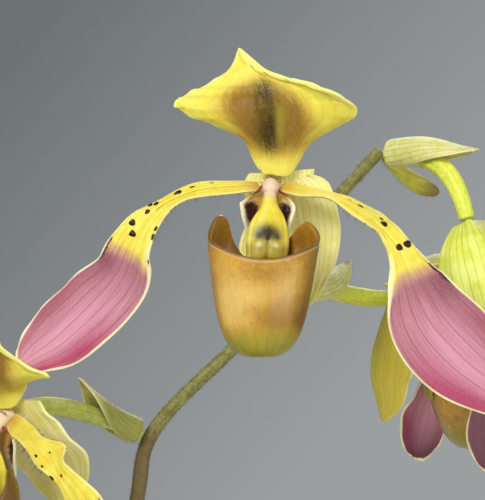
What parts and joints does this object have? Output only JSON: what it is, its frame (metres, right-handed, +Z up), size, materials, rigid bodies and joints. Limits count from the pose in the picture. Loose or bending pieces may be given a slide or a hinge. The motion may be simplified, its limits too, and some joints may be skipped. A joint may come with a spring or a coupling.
{
  "type": "potted slipper orchid",
  "caption": "Potted Paphiopedilum lowii: strap leaves in bark in a plain clay pot, with a tall stem of pouched, long-petalled flowers.",
  "frame": {"origin": "middle of the pot's flat underside, on the surface the pot stands on", "axes": "+Z up along the pot's axis, -Y the side that the open flower faces, +X to the right of someone looking at that flower"},
  "size_m": [0.4747, 0.1857, 0.5948],
  "materials": {
    "clay": "matte",
    "bark": "matte",
    "crown": "satin",
    "leaf": "satin",
    "stem": "matte",
    "bud": "satin",
    "bract": "satin",
    "ovary": "satin",
    "sepal": "satin",
    "pale_sepal": "satin",
    "petal": "satin",
    "pouch": "gloss",
    "column": "gloss"
  },
  "bodies": {
    "root": {"bark_medium": "bark", "bract_1": "bract", "bract_2": "bract", "bract_3": "bract", "bract_4": "bract", "column_1": "column", "column_2": "column", "column_3": "column", "column_4": "column", "crown_1": "crown", "crown_2": "crown", "dorsal_sepal_1": "sepal", "dorsal_sepal_2": "sepal", "dorsal_sepal_3": "sepal", "dorsal_sepal_4": "sepal", "leaf_1": "leaf", "leaf_10": "leaf", "leaf_11": "leaf", "leaf_2": "leaf", "leaf_3": "leaf", "leaf_4": "leaf", "leaf_5": "leaf", "leaf_6": "leaf", "leaf_7": "leaf", "leaf_8": "leaf", "leaf_9": "leaf", "lip_1": "pouch", "lip_2": "pouch", "lip_3": "pouch", "lip_4": "pouch", "ovary_1": "ovary", "ovary_2": "ovary", "ovary_3": "ovary", "ovary_4": "ovary", "petal_left_1": "petal", "petal_left_2": "petal", "petal_left_3": "petal", "petal_left_4": "petal", "petal_right_1": "petal", "petal_right_2": "petal", "petal_right_3": "petal", "petal_right_4": "petal", "pot": "clay", "scape": "stem", "synsepal_1": "pale_sepal", "synsepal_2": "pale_sepal", "synsepal_3": "pale_sepal", "synsepal_4": "pale_sepal", "terminal_bud": "bud"}
  },
  "joints": []
}
